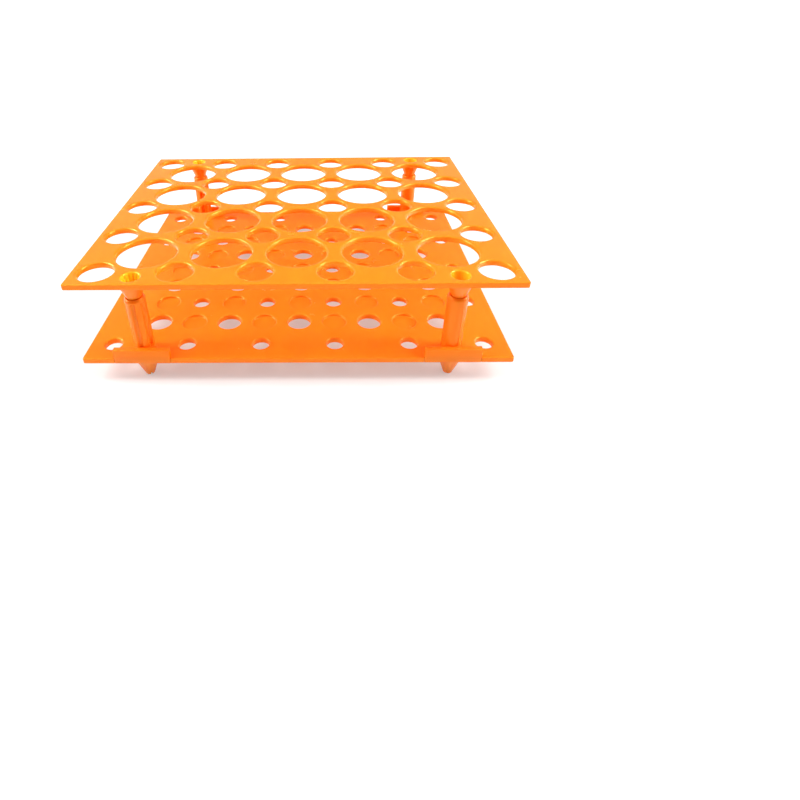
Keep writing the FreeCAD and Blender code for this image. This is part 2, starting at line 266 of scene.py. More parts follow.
def clip(outline, normal, limit):
    """What is left of a convex outline where point . normal <= limit."""
    scale = np.linalg.norm(normal)
    over = (outline @ normal - limit) / scale
    slack = 1e-8
    ahead, over_ahead = np.roll(outline, -1, axis=0), np.roll(over, -1)
    crosses = ((over > slack) & (over_ahead < -slack)) | ((over < -slack) & (over_ahead > slack))
    share = np.where(crosses, over / np.where(crosses, over - over_ahead, 1), 0)
    cuts = outline + share[:, None] * (ahead - outline)
    both = np.stack([outline, cuts], axis=1).reshape(-1, 2)
    kept = both[np.stack([over <= slack, crosses], axis=1).ravel()]
    apart = np.linalg.norm(kept - np.roll(kept, 1, axis=0), axis=1) > SAME_POINT
    return kept[apart]


def share_of(sites, index, corners):
    """The part of the deck nearer to one site than to any other, as an outline.

    Nearness is the squared distance less the squared radius, so the line between two holes runs
    where tangents to both are equally long.
    """
    too_far = 60 * MM  # sites this far apart never meet
    here, radius = sites[index, :2], sites[index, 2]
    outline = corners
    for other in np.delete(sites, index, axis=0):
        step = other[:2] - here
        if step @ step > too_far**2:
            continue
        limit = other[:2] @ other[:2] - here @ here + radius**2 - other[2] ** 2
        outline = clip(outline, 2 * step, limit)
    return outline


def with_breaks(outline, breaks):
    """The outline with extra corners where it passes through any of the break points."""
    end = 1e-4  # share of a side that counts as its end
    for point in breaks:
        ahead = np.roll(outline, -1, axis=0)
        side = ahead - outline
        reach = np.einsum("ij,ij->i", point - outline, side) / np.einsum("ij,ij->i", side, side)
        away = np.linalg.norm(outline + reach[:, None] * side - point, axis=1)
        hit = np.flatnonzero((away < SAME_POINT) & (reach > end) & (reach < 1 - end))
        if len(hit):
            outline = np.insert(outline, hit[0] + 1, point, axis=0)
    return outline


def sampled(outline, feet, fine, coarse):
    """Points at equal steps along each side of an outline, closer together near the feet."""
    close = 12.5 * MM
    ahead = np.roll(outline, -1, axis=0)
    middle = (outline + ahead) / 2
    near = np.linalg.norm(middle[:, None] - feet[None], axis=2).min(axis=1) < close
    lengths = np.linalg.norm(ahead - outline, axis=1)
    steps = np.ceil(lengths / np.where(near, fine, coarse) - 1e-4).astype(int)
    number = np.arange(steps.sum()) - np.repeat(np.cumsum(steps) - steps, steps)
    share = number / np.repeat(steps, steps)
    return np.repeat(outline, steps, axis=0) + share[:, None] * np.repeat(
        ahead - outline, steps, axis=0
    )


def rim_columns(samples, inner, half, corner, edge, notches):
    """Where the deck's edge strip starts, where it ends, its outward directions and rounds.

    samples are the points of the shares' outlines that lie on the inner rectangle. Each side is
    cut at the notches, which set the strip's end back, and each corner is a quarter circle.
    """
    near, corner_points, notch_edge = 1e-6, 7, 0.25 * edge
    starts, ends, ways, rounds = [], [], [], []
    for turn in range(4):
        way = np.array([math.cos(turn * math.pi / 2), math.sin(turn * math.pi / 2)]).round()
        along = np.array([-way[1], way[0]])
        level, reach = abs(way) @ inner, abs(way) @ half
        run = np.sort(samples[np.abs(samples @ way - level) < near] @ along)
        run = run[np.append(True, np.diff(run) > near)]
        cuts = [(run[0], run[-1], reach, (0, 0))]
        if notches and abs(way[1]) > 0.5:
            a, b, back = notches
            stops = [run[0], -b, -a, a, b, run[-1]]
            cuts = [
                (low, high, reach - back * (i % 2), (i > 0, i < 4))
                for i, (low, high) in enumerate(zip(stops[:-1], stops[1:]))
            ]
        for i, (low, high, at, (cut_before, cut_after)) in enumerate(cuts):
            part = run[(run > low - SAME_POINT) & (run < high + SAME_POINT)]
            normals = np.repeat(way[None], len(part), axis=0)
            lean = 1 if i % 2 else -1
            if cut_before:
                normals[0] = way + lean * along
            if cut_after:
                normals[-1] = way - lean * along
            starts.append(level * way + part[:, None] * along)
            ends.append(at * way + part[:, None] * along)
            ways.append(normals)
            rounds.append(np.full(len(part), edge if at == reach else notch_edge))
        side = abs(along) @ half
        angle = np.linspace(0, math.pi / 2, corner_points)[:, None]
        fan = np.cos(angle) * way + np.sin(angle) * along
        middle = (reach - corner) * way + (side - corner) * along
        inner_corner = level * way + abs(along) @ inner * along
        starts.append(np.repeat(inner_corner[None], corner_points, axis=0))
        ends.append(middle + corner * fan)
        ways.append(fan)
        rounds.append(np.full(corner_points, edge))
    return [np.concatenate(part) for part in (starts, ends, ways, rounds)]


def edge_strip(columns, bottom, top):
    """The deck's edge: level, a quarter round, the upright face, a quarter round, level."""
    start, end, way, rounding = columns
    bend = []
    for a in np.linspace(0, math.pi / 2, 5):
        points = end - (rounding * (1 - math.sin(a)))[:, None] * way
        bend.append((points, rounding * (1 - math.cos(a))))
    rows = [(start, np.full(len(start), top))]
    rows += [(points, top - drop) for points, drop in bend]
    rows += [(points, bottom + drop) for points, drop in bend[::-1]]
    rows.append((start, np.full(len(start), bottom)))
    return np.stack([np.column_stack(row) for row in rows])


# ---------------------------------------------------------------- holes, dimples and feet


def through_hole(centre, outline, radius, top_round, bottom_round, bottom, top):
    """A round hole with a quarter round at each rim, with a narrow level band round each."""
    upper_r, upper_z = quarter(radius, top, top_round)
    lower_r, lower_z = quarter(radius, bottom, bottom_round, turn=-1)
    upper_band, lower_band = upper_r[0] + LEVEL_BAND, lower_r[-1] + LEVEL_BAND
    radii = np.concatenate([[upper_band], upper_r, lower_r, [lower_band]])
    heights = np.concatenate([[top], upper_z, lower_z, [bottom]])
    return ring(centre, outline, radii, heights, (top, bottom))


def blank_underside(shell, centre, outline, height, radius):
    """The deck's flat underside below a dimple or a plain share, closed at its middle."""
    shell.add(ring(centre, outline, [0.0, radius], [height, height], (None, height)))


def dimple(shell, centre, outline, radius, depth, rim, bottom, top):
    """A shallow round recess with a rounded rim and a soft inner corner."""
    soft = 0.4 * MM
    angle = np.linspace(0, math.pi / 2, 5)
    rim_r = radius + rim * (1 - np.sin(angle))
    rim_z = top - rim * (1 - np.cos(angle))
    foot_r = radius - soft * (1 - np.cos(angle))
    foot_z = top - depth + soft * (1 - np.sin(angle))
    radii = np.concatenate([[radius + rim + LEVEL_BAND], rim_r, foot_r, [radius - 2 * soft, 0.0]])
    heights = np.concatenate([[top], rim_z, foot_z, [top - depth, top - depth]])
    shell.add(ring(centre, outline, radii, heights, (top, None)))
    blank_underside(shell, centre, outline, bottom, radius)


def plain_share(shell, centre, outline, bottom, top):
    """A share of the deck with nothing in it: two flat faces."""
    middle = 2 * MM
    shell.add(ring(centre, outline, [middle, 0.0], [top, top], (top, None)))
    blank_underside(shell, centre, outline, bottom, middle)


def slot_reach(angle, slots, half_width, reach):
    """How far a star of radial slots reaches from its centre, in each direction.

    Inside a slot's width it is the slot's end; outside, it is where the ray leaves the nearest
    slot's side, half_width / sin(angle from the slot).
    """
    pitch = 2 * math.pi / slots
    off = (angle + pitch / 2) % pitch - pitch / 2
    side = half_width / np.maximum(np.abs(np.sin(off)), 1e-6)
    return np.minimum(side, reach)


def foot(shell, centre, outline, sizes, bottom, top, tip, toothed):
    """A hollow cone under the deck, open at the deck's top face.

    Down the inside the radius falls by the taper from the mouth to the floor or the tip, and up
    the outside it grows again to the underside. In a toothed foot, slots widen the inside, and
    where a slot's end is outside the cone the wall ends higher up, which leaves teeth. Ribs run
    down the inside, over the slots' lands; they fade in below the lip and out at the tip.
    """
    taper, mouth, narrowing = sizes.foot_taper, sizes.mouth_radius, sizes.mouth_taper
    lip, chamfer, band = sizes.foot_lip, 0.5 * MM, 0.12 * MM
    spokes = outline - centre
    angle = np.arctan2(spokes[:, 1], spokes[:, 0])

    def inner_at(z):
        return mouth - narrowing * (top - z)

    def outer_at(z):
        return sizes.foot_radius - taper * (bottom - z)

    bend = np.linspace(0, math.pi / 2, 6)
    lip_r = mouth - narrowing * lip + (1 + narrowing) * lip * (1 - np.sin(bend))
    lip_z = top - lip * (1 - np.cos(bend))
    floor = tip if toothed else tip + sizes.foot_floor
    inner_z = np.linspace(top - lip, floor, 15)[1:]
    head_r = np.concatenate([[mouth + lip + band], lip_r, inner_at(inner_z)])
    head_z = np.concatenate([[top], lip_z, inner_z])
    cone_z = np.linspace(tip + chamfer, bottom, 8)
    tip_r, base_r = outer_at(tip) - chamfer, sizes.foot_radius + band
    outer_r = np.concatenate([[tip_r], outer_at(cone_z), [base_r]])
    outer_z = np.concatenate([[tip], cone_z, [bottom]])
    if not toothed:
        corner, step = 0.3 * MM, 0.02 * MM
        head_r = np.concatenate([head_r[:-1], [head_r[-1] + step, head_r[-1] - corner, 0.0]])
        head_z = np.concatenate([head_z[:-1], [floor + corner, floor, floor]])
        shell.add(ring(centre, outline, head_r, head_z, (top, None)))
        outer_r = np.concatenate([[0.0], outer_r])
        outer_z = np.concatenate([[tip], outer_z])
        shell.add(ring(centre, outline, outer_r, outer_z, (None, bottom)))
        return
    slot_half_width, slot_end = 0.45 * MM, 2.75 * MM
    rib_height, fade_in, fade_out = 0.45 * MM, 2.5 * MM, 6 * MM
    star = slot_reach(angle, sizes.slots, slot_half_width, slot_end)[None]
    strength = np.clip((top - head_z) / fade_in, 0, 1) * np.clip((head_z - tip) / fade_out, 0, 1)
    wave = 0.5 - 0.5 * np.cos(2 * sizes.slots * angle)
    ribs = rib_height * strength[:, None] * wave[None]
    below = head_z[:, None] <= bottom
    inside = head_r[:, None] - ribs
    inside = np.where(below, np.maximum(inside, star), inside)
    opened = tip + np.clip((star - outer_at(tip)) / taper, 0, None)
    inside = np.minimum(inside, outer_at(np.maximum(head_z[:, None], opened)))
    radii = np.concatenate([inside, np.maximum(outer_r[:, None], inside[-1:])])
    heights = np.concatenate([head_z, outer_z])[:, None]
    heights = np.where(opened > tip + HAIR, np.maximum(heights, opened), heights)
    shell.add(ring(centre, outline, radii, heights, (top, bottom)))


def named_mounts(prefix):
    """The record's mounts whose names start so, as rows of x, y, radius."""
    return [
        [*mount["pos_m"][:2], mount["dims"].get("r_mm", 0.0) * MM]
        for mount in RECORD["mounts"]
        if mount["name"].startswith(prefix)
    ]


def build_deck(name, node, holes, sizes, top_round, bottom_round, dimples, spares, notches):
    """One deck: its shares, each with its hole, dimple, foot or nothing, and its edge strip.

    The deck without notches has holes of two very different sizes, so its shares are weighed by
    the holes' radii. In the other one every site weighs the same.
    """
    margin = 1.0 * MM  # width of the edge strip
    notched_margin = 1.65 * MM  # along the sides with notches
    fine, coarse = 0.6 * MM, 1.35 * MM
    low, high = (np.array(corner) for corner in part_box(node))
    half = np.round((high - low)[:2] / 2 / MM, 0) * MM
    tip, top = low[2], high[2]
    bottom = top - PLATE_THICKNESS
    inner = half - np.array([margin, notched_margin if notches else margin])
    feet = np.array(named_mounts("stacking_mouth"))[:, :2]
    foot_sites = [[x, y, sizes.foot_radius] for x, y in feet]
    kinds = (
        [("hole", h) for h in holes]
        + [("foot", f) for f in foot_sites]
        + [("dimple", [*d, sizes.dimple_radius]) for d in dimples]
        + [("plain", [*s, 0.0]) for s in spares]
    )
    sites = np.array([site for _, site in kinds])
    shared = sites.copy()
    shared[:, 2] = 0.0 if notches else sites[:, 2] + top_round
    corners = np.array([(-1, -1), (1, -1), (1, 1), (-1, 1)]) * inner
    breaks = [
        (side * x, end * inner[1])
        for side in SIDES
        for end in SIDES
        for x in (notches[:2] if notches else ())
    ]
    shell, rim = Shell(), []
    for index, (kind, (x, y, radius)) in enumerate(kinds):
        centre = np.array([x, y])
        outline = with_breaks(share_of(shared, index, corners), np.array(breaks).reshape(-1, 2))
        outline = sampled(outline, feet, fine, coarse)
        on_rim = (np.abs(np.abs(outline) - inner) < SAME_POINT).any(axis=1)
        rim.append(outline[on_rim])
        if kind == "hole":
            shell.add(through_hole(centre, outline, radius, top_round, bottom_round, bottom, top))
        elif kind == "foot":
            foot(shell, centre, outline, sizes, bottom, top, tip, toothed=x < 0)
        elif kind == "dimple":
            depth, rim_round = sizes.dimple_depth, sizes.dimple_rim
            dimple(shell, centre, outline, radius, depth, rim_round, bottom, top)
        else:
            plain_share(shell, centre, outline, bottom, top)
    columns = rim_columns(
        np.concatenate(rim), inner, half, sizes.plate_corner, sizes.plate_edge, notches
    )
    shell.add(edge_strip(columns, bottom, top), flip=True)
    return shell.mesh(name)


# ---------------------------------------------------------------- posts


def carried_bar(corners, half_length, rounding, heart, steps=3):
    """A right-angled outline in Y and Z carried along X, with rounded corners and ends.

    Each corner is a quarter circle about a centre one rounding inside it, or outside it where
    the outline turns the other way. Towards either end the outline shrinks along a quarter
    circle, and it closes at the heart, a point that sees the whole outline.
    """
    corners = np.array(corners, float)
    side = np.roll(corners, -1, axis=0) - corners
    side = side / np.linalg.norm(side, axis=1, keepdims=True)
    after = np.column_stack([side[:, 1], -side[:, 0]])
    before = np.roll(after, 1, axis=0)
    way = np.sign(before[:, 0] * after[:, 1] - before[:, 1] * after[:, 0])[:, None, None]
    angle = np.linspace(0, math.pi / 2, steps + 1)[None, :, None]
    fan = np.cos(angle) * before[:, None] + np.sin(angle) * after[:, None]
    middle = corners[:, None] - way * rounding * (before + after)[:, None]
    ends = [
        (rounding * (1 - math.sin(a)), half_length - rounding * (1 - math.cos(a)))
        for a in np.linspace(0, math.pi / 2, steps + 1)
    ]
    rows = [(-x, shrink) for shrink, x in ends] + [(x, shrink) for shrink, x in ends[::-1]]
    grid = []
    for x, shrink in rows:
        flat = (middle + (way * rounding - shrink) * fan).reshape(-1, 2)
        grid.append(np.column_stack([np.full(len(flat), x), flat]))
    cap = np.repeat([[0.0, *heart]], len(grid[0]), axis=0)
    grid.insert(0, cap - [half_length, 0, 0])
    grid.append(cap + [half_length, 0, 0])
    return np.stack(grid)


def post_shaft(sizes, sockets, fluted):
    """A post's shaft, spigot and socket as one turned grid, with its flutes or its seam groove.

    The radius of the shaft is the turned radius less what the nearest flute, a circle centred
    just outside the shaft, cuts from it in that direction.
    """
    spigot, height, floor, rim, tip = sockets
    columns = 144
    angle = np.linspace(0, 2 * math.pi, columns, endpoint=False)
    radius, taper, gap = sizes.post_radius, sizes.foot_taper, 0.2 * MM
    mouth, narrowing = sizes.mouth_radius - gap, sizes.mouth_taper
    seat, shoulder, flute_end = 0.06 * MM, 1.1 * MM, 2.0 * MM
    soft, lift, lip = 0.25 * MM, 0.02 * MM, 0.2 * MM
    flute_start, flute_step = sizes.bar_rise + 0.07 * MM, 0.03 * MM
    profile = [
        (0.0, -spigot),
        (mouth - narrowing * spigot - soft, -spigot),
        (mouth - narrowing * spigot, -spigot + soft),
        (mouth, 0.0),
        (mouth + 0.5 * lift, lift),
        (radius, lift),
        (radius, flute_start - flute_step),
        (radius, flute_start),
        (radius, (height + sizes.bar_rise) / 2),
        (radius, height - flute_end - 0.6 * MM),
        (radius, height - flute_end),
        (radius, height - shoulder - soft),
        (radius - 0.3 * soft, height - shoulder + 0.4 * soft),
        (rim + lip, height - lip),
        (rim, height),
        (tip + seat + taper * (height - floor), height),
        (tip + seat + taper * (height - floor - 0.5 * MM), height - 0.5 * MM),
        (tip + gap, floor),
        (0.0, floor),
    ]
    radii, heights = (np.array(part) for part in zip(*profile))
    radii = np.repeat(radii[:, None], columns, axis=1)
    if fluted:
        cut, offset = 1.3 * MM, 5.4 * MM  # a flute's radius, and its centre from the axis
        pitch = 2 * math.pi / sizes.flutes
        off = (angle + math.pi / 2 + pitch / 2) % pitch - pitch / 2
    else:
        cut, offset = 0.2 * MM, radius  # the seam groove's
        groove_turn = math.radians(20)  # from the outward side
        off = angle + math.pi / 2 - groove_turn
        off = (off + math.pi) % (2 * math.pi) - math.pi
    inside = np.maximum(cut**2 - (offset * np.sin(off)) ** 2, 0)
    facing = (inside > 0) & (np.cos(off) > 0)
    reach = np.where(facing, offset * np.cos(off) - np.sqrt(inside), radius)
    last = height - (flute_end if fluted else shoulder)
    cut_rows = (heights > flute_start - HAIR) & (heights < last - HAIR) & (radii[:, 0] > rim)
    radii = np.where(cut_rows[:, None], np.minimum(radii, reach), radii)
    flat = radii[..., None] * np.column_stack([np.cos(angle), np.sin(angle)])
    return np.concatenate([flat, np.repeat(heights[:, None], columns, axis=1)[..., None]], axis=-1)


def joined(name, grids):
    """One closed mesh out of several closed, overlapping ones, by exact union."""
    parts = []
    for number, grid in enumerate(grids):
        shell = Shell()
        shell.add(grid)
        part = bpy.data.objects.new(f"{name}_part{number}", shell.mesh(f"{name}_part{number}"))
        bpy.context.scene.collection.objects.link(part)
        parts.append(part)
    for other in parts[1:]:
        union = parts[0].modifiers.new(other.name, "BOOLEAN")
        union.operation, union.solver, union.object = "UNION", "EXACT", other
    bpy.context.view_layer.update()
    graph = bpy.context.evaluated_depsgraph_get()
    data = bpy.data.meshes.new_from_object(parts[0].evaluated_get(graph), depsgraph=graph)
    for part in parts:
        old = part.data
        bpy.data.objects.remove(part)
        bpy.data.meshes.remove(old)
    data.name = name
    return data


def build_post(name, node, sizes):
    """A post with its base bar, turned so that the bar faces outwards."""
    low, high = (np.array(corner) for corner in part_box(node))
    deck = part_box("bottom_plate")[1][2]
    side = 1 if low[0] > 0 else -1
    end = 1 if low[1] > 0 else -1
    x, y = min(
        (mount[:2] for mount in named_mounts("stacking_mouth")),
        key=lambda at: abs(at[0] - (low[0] + high[0]) / 2) + abs(at[1] - (low[1] + high[1]) / 2),
    )
    half = np.abs([low[1], high[1]]).max()
    face = -(half - abs(y))
    foot_tip = sizes.foot_radius - sizes.foot_taper * FOOT_HEIGHT
    sockets = (deck - low[2], high[2] - deck, SOCKET_FLOOR, SOCKET_RIM, foot_tip)
    shaft = post_shaft(sizes, sockets, fluted=side < 0)
    depth, key, rise, below = sizes.bar_depth, sizes.bar_key, sizes.bar_rise, -PLATE_THICKNESS
    outline = [
        (face, below),
        (face + key, below),
        (face + key, 0.0),
        (face + depth, 0.0),
        (face + depth, rise),
        (face, rise),
    ]
    rounding, heart = 0.3 * MM, (face + key / 2, 0.6 * MM)
    bar = carried_bar(outline, sizes.bar_length / 2, rounding, heart)
    data = joined(name, [shaft, bar])
    data.transform(
        Matrix.Translation((x, y, deck)) @ Matrix.Rotation(math.pi if end > 0 else 0, 4, "Z")
    )
    data.shade_smooth()
    data.set_sharp_from_angle(angle=SHARP_ANGLE)
    return data


# ---------------------------------------------------------------- materials


def new_material(name):
    """An empty node material and its node tree."""
    material = bpy.data.materials.new(name)
    material.use_nodes = True
    material.node_tree.nodes.clear()
    return material, material.node_tree


def add_node(tree, kind, settings=None, links=None):
    """Add one node; settings are attributes or input values, links are input -> output."""
    node = tree.nodes.new(kind)
    for key, value in (settings or {}).items():
        if key in node.inputs:
            node.inputs[key].default_value = value
        else:
            setattr(node, key, value)
    for key, source in (links or {}).items():
        tree.links.new(source, node.inputs[key])
    return node


def per_mm(size_mm):
    """The scale that gives a noise feature of this size, on coordinates in metres."""
    return 1 / (size_mm * MM)


def moulded_polypropylene(name, base, flow_mm, hollow=None):
    """Injection-moulded polypropylene, dyed through.

    To the eye: a glossy skin with the tool's faint orange-peel, a waxy depth because light
    spreads inside, slightly paler clouds where the melt flowed, and patches that handling has
    dulled.
    """
    material, tree = new_material(name)
    place = add_node(tree, "ShaderNodeTexCoord").outputs["Object"]
    # the melt's clouds: long soft patches of slightly different density
    cloud = add_node(
        tree,
        "ShaderNodeTexNoise",
        {"Scale": per_mm(flow_mm), "Detail": 3.0, "Roughness": 0.55, "Distortion": 0.6},
        {"Vector": place},
    )
    deep = tuple(c * k for c, k in zip(base, (0.97, 0.90, 0.80))) + (1.0,)
    pale = tuple(min(1.0, c * k + a) for c, k, a in zip(base, (1.0, 1.06, 1.1), (0, 0, 0.001)))
    tint = add_node(
        tree,
        "ShaderNodeMix",
        {"data_type": "RGBA"},
        {0: cloud.outputs["Fac"]},
    )
    tint.inputs[6].default_value, tint.inputs[7].default_value = deep, pale + (1.0,)
    skin_colour = tint.outputs[2]
    # painted light: inside the hollow feet the colour turns to the painted glow
    if hollow:
        skin_colour = painted_hollow_glow(tree, place, skin_colour, *hollow)
    # patches that handling has dulled a little
    worn = add_node(
        tree,
        "ShaderNodeTexNoise",
        {"Scale": per_mm(14.0), "Detail": 6.0, "Roughness": 0.65},
        {"Vector": place},
    )
    gloss = add_node(
        tree,
        "ShaderNodeMapRange",
        {"From Min": 0.35, "From Max": 0.7, "To Min": 0.2, "To Max": 0.28},
        {"Value": worn.outputs["Fac"]},
    )
    # the tool's orange-peel and a fine grain over it
    peel = add_node(
        tree, "ShaderNodeTexNoise", {"Scale": per_mm(5.0), "Detail": 2.0}, {"Vector": place}
    )
    grain = add_node(
        tree, "ShaderNodeTexNoise", {"Scale": per_mm(0.45), "Detail": 2.0}, {"Vector": place}
    )
    swell = add_node(
        tree, "ShaderNodeBump", {"Strength": 0.12, "Distance": 0.25 * MM},
        {"Height": peel.outputs["Fac"]},
    )
    skin = add_node(
        tree, "ShaderNodeBump", {"Strength": 0.12, "Distance": 0.03 * MM},
        {"Height": grain.outputs["Fac"], "Normal": swell.outputs["Normal"]},
    )
    shader = add_node(
        tree,
        "ShaderNodeBsdfPrincipled",
        {
            "IOR": 1.49,
            "Specular IOR Level": 1.0,
            "Specular Tint": (1.0, 0.75, 0.12, 1.0),
            "Subsurface Weight": 0.6,
            "Subsurface Radius": (1.0, 0.4, 0.1),
            "Subsurface Scale": 2.5 * MM,
        },
        {
            "Base Color": skin_colour,
            "Roughness": gloss.outputs["Result"],
            "Normal": skin.outputs["Normal"],
        },
    )
    add_node(tree, "ShaderNodeOutputMaterial", links={"Surface": shader.outputs["BSDF"]})
    return material


def painted_hollow_glow(tree, place, plain, mouth, taper, reach, glow):
    """The plain colour, turned to a painted glow inside the hollow feet.

    This is painted light: the inside of a hollow foot is coloured yellower than the deck, standing
    in for light that gathers in its thin walls.
    The inside is where the distance from the foot's axis, and the taper for each unit below the
    mouth's height, add up to less than the reach.
    """
    soft_edge = 0.8 * MM
    away = add_node(
        tree, "ShaderNodeVectorMath", {"operation": "ABSOLUTE"}, {0: place}
    ).outputs["Vector"]
    offset = add_node(tree, "ShaderNodeVectorMath", {"operation": "SUBTRACT"}, {0: away})
    offset.inputs[1].default_value = mouth
    flat = add_node(
        tree, "ShaderNodeVectorMath", {"operation": "MULTIPLY"}, {0: offset.outputs["Vector"]}
    )
    flat.inputs[1].default_value = (1.0, 1.0, 0.0)
    radius = add_node(
        tree, "ShaderNodeVectorMath", {"operation": "LENGTH"}, {0: flat.outputs["Vector"]}
    ).outputs["Value"]
    below = add_node(
        tree, "ShaderNodeSeparateXYZ", links={"Vector": offset.outputs["Vector"]}
    ).outputs["Z"]
    cone = add_node(
        tree, "ShaderNodeMath", {"operation": "MULTIPLY_ADD"}, {0: below, 2: radius}
    )
    cone.inputs[1].default_value = -taper
    inside = add_node(
        tree,
        "ShaderNodeMapRange",
        {"From Min": reach - soft_edge, "From Max": reach, "To Min": 1.0, "To Max": 0.0},
        {"Value": cone.outputs[0]},
    )
    mixed = add_node(
        tree,
        "ShaderNodeMix",
        {"data_type": "RGBA"},
        {0: inside.outputs["Result"], 6: plain},
    )
    mixed.inputs[7].default_value = (*glow, 1.0)
    return mixed.outputs[2]


def matt_paper(name, base):
    """Uncoated white paper sweep: matt, with the faint mottle of its fibres.

    Its surface glows, a painted light that is weakest near the rack and grows further out, so the
    room stays pale all round.
    """
    material, tree = new_material(name)
    place = add_node(tree, "ShaderNodeTexCoord").outputs["Object"]
    fibre = add_node(
        tree, "ShaderNodeTexNoise", {"Scale": per_mm(1.5), "Detail": 4.0}, {"Vector": place}
    )
    bump = add_node(
        tree, "ShaderNodeBump", {"Strength": 0.05, "Distance": 0.05 * MM},
        {"Height": fibre.outputs["Fac"]},
    )
    # painted light: the paper's glow, weakest near the rack and growing with distance from it
    away = add_node(tree, "ShaderNodeVectorMath", {"operation": "LENGTH"}, {0: place})
    painted_floor_glow = add_node(
        tree,
        "ShaderNodeMapRange",
        {"From Min": 0.3, "From Max": 1.3, "To Min": 0.35, "To Max": 1.0},
        {"Value": away.outputs["Value"]},
    )
    shader = add_node(
        tree,
        "ShaderNodeBsdfPrincipled",
        {
            "Base Color": (*base, 1.0),
            "Roughness": 0.9,
            "Specular IOR Level": 0.0,
            "Emission Color": (1.0, 1.0, 1.0, 1.0),
        },
        {"Normal": bump.outputs["Normal"], "Emission Strength": painted_floor_glow.outputs["Result"]},
    )
    add_node(tree, "ShaderNodeOutputMaterial", links={"Surface": shader.outputs["BSDF"]})
    return material


# ---------------------------------------------------------------- operators


def place_piece(name, data, material, body, node):
    """Link a finished mesh as a piece that rides on a body and stands for its CAD node."""
    if len(data.polygons) == 0:
        raise RuntimeError(f"{name} came out empty")
    piece = bpy.data.objects.new(name, data)
    bpy.context.scene.collection.objects.link(piece)
    data.materials.clear()
    data.materials.append(material)
    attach(piece, body)
    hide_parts(node)
    return piece


def named_material(maker, name, *values):
    """The material of that name, made once."""
    return bpy.data.materials.get(name) or maker(name, *values)


class RACK_OT_tube_deck(Operator):
    """Build the top deck, with its full-size tube holes and its four feet"""

    bl_idname = "rack.tube_deck"
    bl_label = "Tube deck"

    def execute(self, context):
        sizes, colours = context.scene.rack_sizes, context.scene.rack_colours
        data = build_deck(
            "tube_deck",
            "top_plate",
            named_mounts("tube_"),
            sizes,
            sizes.hole_rim,
            sizes.hole_foot,
            dimples=[],
            spares=[],
            notches=None,
        )
        # painted light: the tube deck's hollow feet are coloured with the painted glow, which
        # spreads a little beyond each hollow
        x, y = np.abs(named_mounts("stacking_mouth")[0][:2])
        mouth = (x, y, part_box("top_plate")[1][2])
        spread = 0.5 * MM  # of the glow beyond the hollow
        reach = sizes.mouth_radius + spread
        material = named_material(
            moulded_polypropylene,
            "moulded_polypropylene_tube_deck",
            tuple(colours.deck),
            DECK_FLOW_MM,
            (mouth, sizes.mouth_taper, reach, tuple(colours.hollow)),
        )
        place_piece("tube_deck", data, material, "top", "top_plate")
        return {"FINISHED"}


class RACK_OT_base_deck(Operator):
    """Build the base deck, with its tip holes, dimples, notches and four feet"""

    bl_idname = "rack.base_deck"
    bl_label = "Base deck"

    def execute(self, context):
        sizes, colours = context.scene.rack_sizes, context.scene.rack_colours
        holes = named_mounts("tip_")
        pitch = 19 * MM  # half the spacing of the tubes
        lower_round = 0.1 * MM
        taken = {(round(x / pitch), round(y / pitch)) for x, y, _ in holes}
        across, along = (max(abs(spot[axis]) for spot in taken) for axis in (0, 1))
        dimples, spares = [], []
        for i in range(-across, across + 1):
            for j in range(-along, along + 1):
                is_foot = abs(i) == across - 1 and abs(j) == along
                if (i, j) in taken or is_foot:
                    continue
                outside = abs(i) == across or abs(j) == along
                (spares if outside else dimples).append((i * pitch, j * pitch))
        post_x = abs(named_mounts("stacking_mouth")[0][0])
        gap = 0.1 * MM
        reach = sizes.bar_length / 2 + gap
        data = build_deck(
            "base_deck",
            "bottom_plate",
            holes,
            sizes,
            sizes.tip_rim,
            lower_round,
            dimples=dimples,
            spares=spares,
            notches=(post_x - reach, post_x + reach, sizes.bar_key + gap),
        )
        material = named_material(
            moulded_polypropylene,
            "moulded_polypropylene_base_deck",
            tuple(colours.deck),
            DECK_FLOW_MM,
        )
        place_piece("base_deck", data, material, "base", "bottom_plate")
        return {"FINISHED"}


class RACK_OT_posts(Operator):
    """Build the four posts with their base bars: fluted on the left, plain on the right"""

    bl_idname = "rack.posts"
    bl_label = "Posts"

    def execute(self, context):
        sizes, colours = context.scene.rack_sizes, context.scene.rack_colours
        # painted shade: the posts' material takes the darker, redder orange of the posts' colour
        material = named_material(
            moulded_polypropylene,
            "moulded_polypropylene_post",
            tuple(colours.post),
            POST_FLOW_MM,
        )
        for end in ("front", "back"):
            for side in ("left", "right"):
                node = f"post_{end}_{side}"
                name = f"{end}_{side}_post"
                data = build_post(name, node, sizes)
                place_piece(name, data, material, "base", node)
        return {"FINISHED"}


def area_light(name, centre, target, width, height, power):
    """An upright soft light that faces its target."""
    data = bpy.data.lights.new(name, "AREA")
    data.shape, data.size, data.size_y, data.energy = "RECTANGLE", width, height, power
    lamp = bpy.data.objects.new(name, data)
    bpy.context.scene.collection.objects.link(lamp)
    away = np.array(centre) - np.array(target)
    lamp.matrix_world = Matrix.Translation(centre) @ turn_towards(away)


def turn_towards(back):
    """The rotation whose +Z looks along a direction, with its +Y as far up as it can be."""
    z = np.array(back, float) / np.linalg.norm(back)
    x = np.cross((0.0, 0.0, 1.0), z)
    x = x / np.linalg.norm(x)
    turn = Matrix(np.column_stack([x, np.cross(z, x), z]).tolist())
    return turn.to_4x4()


def reckon(tree, operation, first, second=0.0, third=0.0):
    """The output of a maths node whose inputs are numbers or other nodes' outputs."""
    node = add_node(tree, "ShaderNodeMath", {"operation": operation})
    for socket, value in zip(node.inputs, (first, second, third)):
        if isinstance(value, float):
            socket.default_value = value
        else:
            tree.links.new(value, socket)
    return node.outputs[0]


